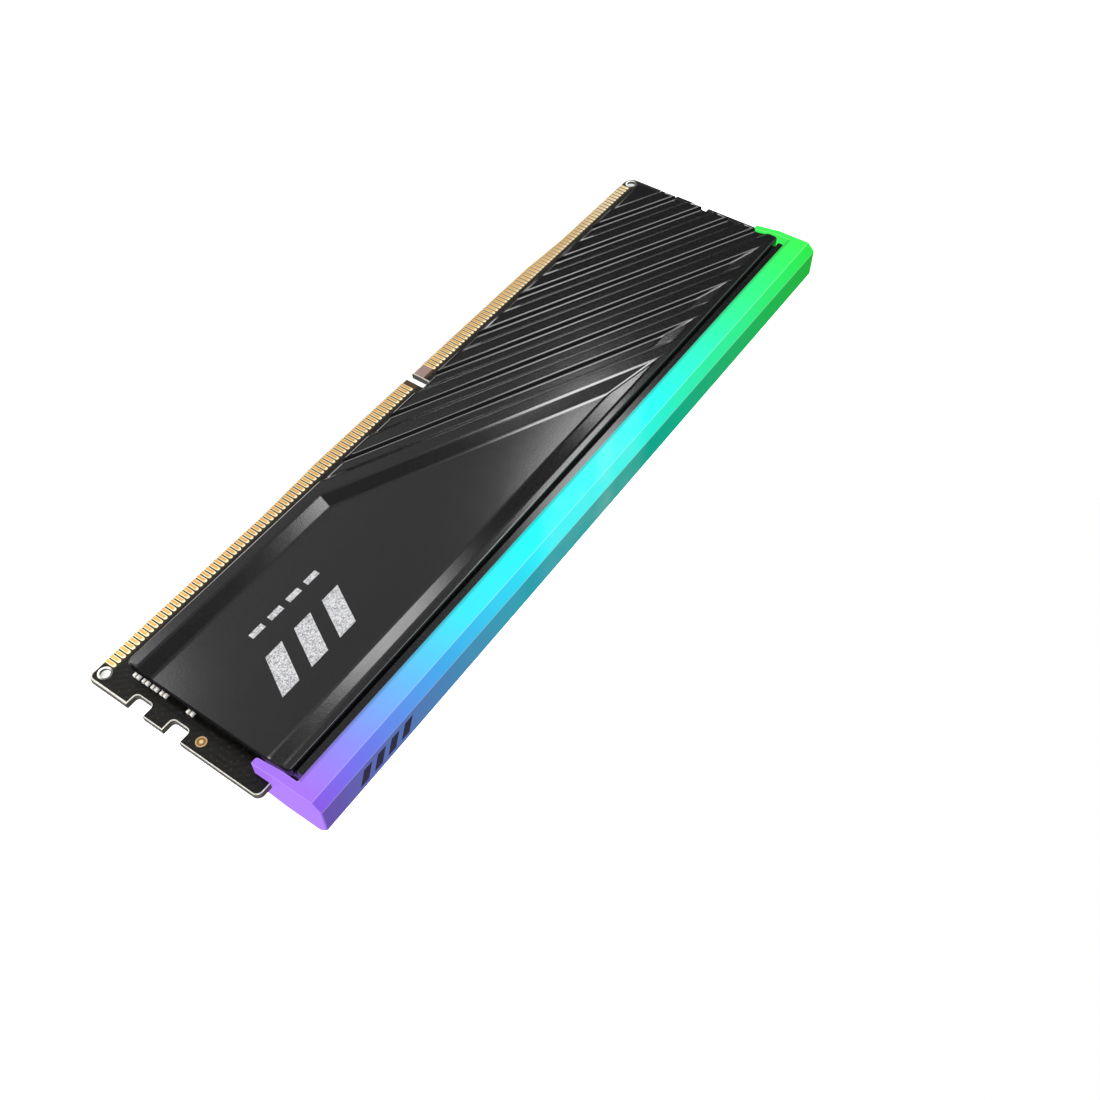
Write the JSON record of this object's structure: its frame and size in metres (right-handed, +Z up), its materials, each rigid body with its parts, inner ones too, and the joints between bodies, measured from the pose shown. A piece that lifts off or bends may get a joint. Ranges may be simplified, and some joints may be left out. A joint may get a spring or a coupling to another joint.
{
  "type": "ram module",
  "caption": "Slim desktop memory module: stepped card edge with gold contacts, ribbed black heat spreaders front and back, and a chamfered translucent light bar with end legs.",
  "frame": {"origin": "centre of the board's length and thickness, on the lowest part of its contact edge", "axes": "+X along the module to the end with the longer contact row, +Z up from the contact edge to the light bar, front face towards -Y"},
  "size_m": [0.1334, 0.0074, 0.04],
  "materials": {
    "board_laminate": "black solder mask over laminate",
    "gold_plating": "gold plated",
    "tinned_copper": "tinned",
    "chip_package": "moulded epoxy",
    "coil_body": "pressed iron powder",
    "ceramic_capacitor": "fired, tinned ends",
    "anodised_aluminium": "black anodised over a fine blast",
    "thermal_pad": "soft silicone",
    "foam_tape": "closed-cell foam tape",
    "light_chip": "white package",
    "black_rail": "moulded, satin",
    "clear_guide": "clear acrylic, frosted",
    "milky_cover": "frosted, lit from inside",
    "silver_print": "screen printed silver",
    "label_film": "printed film"
  },
  "bodies": {
    "root": {"back_contacts_left_row": "gold_plating", "back_contacts_right_row": "gold_plating", "back_heat_spreader": "anodised_aluminium", "back_label": "label_film", "back_pad_lower": "foam_tape", "back_pad_upper": "foam_tape", "chip_gap_capacitors_left": "ceramic_capacitor", "chip_gap_capacitors_right": "ceramic_capacitor", "circuit_board": "board_laminate", "end_capacitors_left": "ceramic_capacitor", "end_capacitors_right": "ceramic_capacitor", "front_contacts_left_row": "gold_plating", "front_contacts_right_row": "gold_plating", "front_heat_spreader": "anodised_aluminium", "gold_test_pad": "gold_plating", "light_chip_1": "light_chip", "light_chip_2": "light_chip", "light_chip_3": "light_chip", "light_chip_4": "light_chip", "light_chip_5": "light_chip", "light_chip_6": "light_chip", "light_chip_7": "light_chip", "light_chip_8": "light_chip", "light_controller_chip": "chip_package", "light_cover": "milky_cover", "light_guide": "clear_guide", "light_rail": "black_rail", "memory_chip_1": "chip_package", "memory_chip_2": "chip_package", "memory_chip_3": "chip_package", "memory_chip_4": "chip_package", "memory_chip_5": "chip_package", "memory_chip_6": "chip_package", "memory_chip_7": "chip_package", "memory_chip_8": "chip_package", "panel_mark": "silver_print", "plated_hole_left": "tinned_copper", "plated_hole_right": "tinned_copper", "power_capacitors": "ceramic_capacitor", "power_chip": "chip_package", "power_coil_1": "coil_body", "power_coil_2": "coil_body", "power_coil_3": "coil_body", "sensor_hub_chip": "chip_package", "thermal_pad_left": "thermal_pad", "thermal_pad_power_chip": "thermal_pad", "thermal_pad_right": "thermal_pad"}
  },
  "joints": []
}
